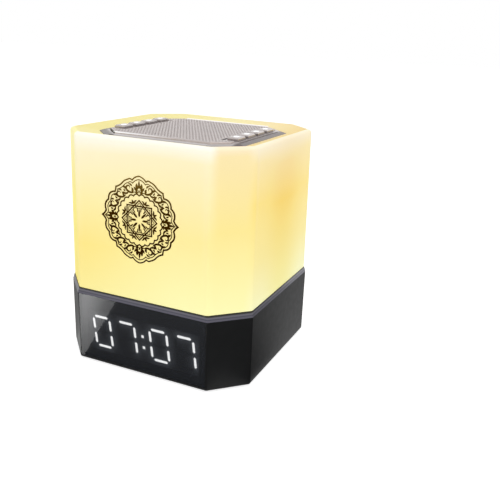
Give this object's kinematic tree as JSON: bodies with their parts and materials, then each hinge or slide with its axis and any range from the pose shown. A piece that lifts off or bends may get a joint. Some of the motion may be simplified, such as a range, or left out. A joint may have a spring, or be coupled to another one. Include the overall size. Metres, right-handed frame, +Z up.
{
  "type": "azan clock",
  "caption": "Eight-sided cube clock lamp with a milky lit shade, white segment display in a dark base, speaker grille and rows of keys on top.",
  "frame": {"origin": "centre of the plane under the four feet", "axes": "+Z up, -Y out of the display, +X to the right of someone facing the display"},
  "size_m": [0.116, 0.116, 0.1295],
  "materials": {
    "milky_shade": "satin milky plastic, lit warm from inside",
    "ring_grey": "satin grey with a violet cast",
    "charcoal": "satin dark grey",
    "black_lens": "gloss black",
    "display_black": "matte black",
    "lit_white": "lit white",
    "dark_segment": "unlit grey",
    "rubber": "matte black",
    "silver_panel": "satin silver paint",
    "silver_grille": "satin silver lacquer",
    "silver_keys": "satin silver paint",
    "circuit_board": "green solder resist",
    "white_board": "white solder resist on aluminium",
    "warm_light": "lit warm yellow",
    "chip_black": "matte black",
    "white_plastic": "satin white",
    "steel": "nickel plated",
    "black_steel": "satin black paint",
    "aluminium": "bare aluminium can",
    "cell_wrap": "blue shrink wrap over a cell of mixed metals",
    "ferrite": "matte dark grey ferrite",
    "copper": "enamelled copper",
    "paper_black": "matte black",
    "spider_cloth": "resin cloth",
    "red_wire": "satin red",
    "grey_wire": "satin grey"
  },
  "bodies": {
    "clock_body": {"lamp_shade": "milky_shade", "trim_ring": "ring_grey", "trim_ring_screws": "steel", "base_shell": "charcoal", "base_plate": "charcoal", "base_plate_screws": "steel", "rubber_feet": "rubber", "front_lens": "black_lens", "display_housing": "display_black", "lit_segments": "lit_white", "dark_segments": "dark_segment", "display_board": "circuit_board", "display_screws": "steel", "remote_receiver": "display_black", "main_board": "circuit_board", "main_board_screws": "steel", "board_chips": "chip_black", "board_capacitors": "aluminium", "board_connectors": "white_plastic", "charging_socket": "steel", "headphone_socket": "chip_black", "card_socket": "steel", "power_switch_body": "steel", "battery_cell": "cell_wrap", "battery_cradle": "chip_black", "core_tower": "white_plastic", "core_tower_screws": "steel", "light_board": "white_board", "light_chips": "warm_light", "control_panel": "silver_panel", "speaker_grille": "silver_grille", "tact_switches": "chip_black", "left_key_board": "circuit_board", "right_key_board": "circuit_board", "key_board_screws": "steel", "speaker_basket": "black_steel", "speaker_screws": "steel", "speaker_top_plate": "steel", "speaker_magnet": "ferrite", "speaker_yoke": "steel", "cone_surround": "rubber", "cone_spider": "spider_cloth", "spider_seat": "chip_black", "speaker_leads": "red_wire", "key_cables": "grey_wire", "battery_leads": "red_wire", "display_cable": "grey_wire"},
    "key_left_1": {"key_left_1": "silver_keys"},
    "key_left_2": {"key_left_2": "silver_keys"},
    "key_left_3": {"key_left_3": "silver_keys"},
    "key_left_4": {"key_left_4": "silver_keys"},
    "key_right_1": {"key_right_1": "silver_keys"},
    "key_right_2": {"key_right_2": "silver_keys"},
    "key_right_3": {"key_right_3": "silver_keys"},
    "key_right_4": {"key_right_4": "silver_keys"},
    "power_knob": {"power_switch_knob": "chip_black"},
    "speaker_cone_body": {"speaker_cone": "paper_black", "voice_coil": "copper", "dust_cap": "paper_black"},
    "memory_card_body": {"memory_card": "chip_black"}
  },
  "joints": [
    {"name": "key_left_1_press", "type": "slide", "parent": "clock_body", "child": "key_left_1", "axis": [0, 0, -1], "range_m": [0, 0.0005], "stiffness_N_per_m": 400},
    {"name": "key_left_2_press", "type": "slide", "parent": "clock_body", "child": "key_left_2", "axis": [0, 0, -1], "range_m": [0, 0.0005], "stiffness_N_per_m": 400},
    {"name": "key_left_3_press", "type": "slide", "parent": "clock_body", "child": "key_left_3", "axis": [0, 0, -1], "range_m": [0, 0.0005], "stiffness_N_per_m": 400},
    {"name": "key_left_4_press", "type": "slide", "parent": "clock_body", "child": "key_left_4", "axis": [0, 0, -1], "range_m": [0, 0.0005], "stiffness_N_per_m": 400},
    {"name": "key_right_1_press", "type": "slide", "parent": "clock_body", "child": "key_right_1", "axis": [0, 0, -1], "range_m": [0, 0.0005], "stiffness_N_per_m": 400},
    {"name": "key_right_2_press", "type": "slide", "parent": "clock_body", "child": "key_right_2", "axis": [0, 0, -1], "range_m": [0, 0.0005], "stiffness_N_per_m": 400},
    {"name": "key_right_3_press", "type": "slide", "parent": "clock_body", "child": "key_right_3", "axis": [0, 0, -1], "range_m": [0, 0.0005], "stiffness_N_per_m": 400},
    {"name": "key_right_4_press", "type": "slide", "parent": "clock_body", "child": "key_right_4", "axis": [0, 0, -1], "range_m": [0, 0.0005], "stiffness_N_per_m": 400},
    {"name": "power_slide", "type": "slide", "parent": "clock_body", "child": "power_knob", "axis": [1, 0, 0], "range_m": [0, 0.002]},
    {"name": "cone_travel", "type": "slide", "parent": "clock_body", "child": "speaker_cone_body", "axis": [0, 0, 1], "range_m": [-0.001, 0.001], "stiffness_N_per_m": 900, "deforming": ["cone_surround", "cone_spider"]},
    {"name": "card_pull", "type": "slide", "parent": "clock_body", "child": "memory_card_body", "axis": [0, 1, 0], "range_m": [0, 0.0145]}
  ]
}
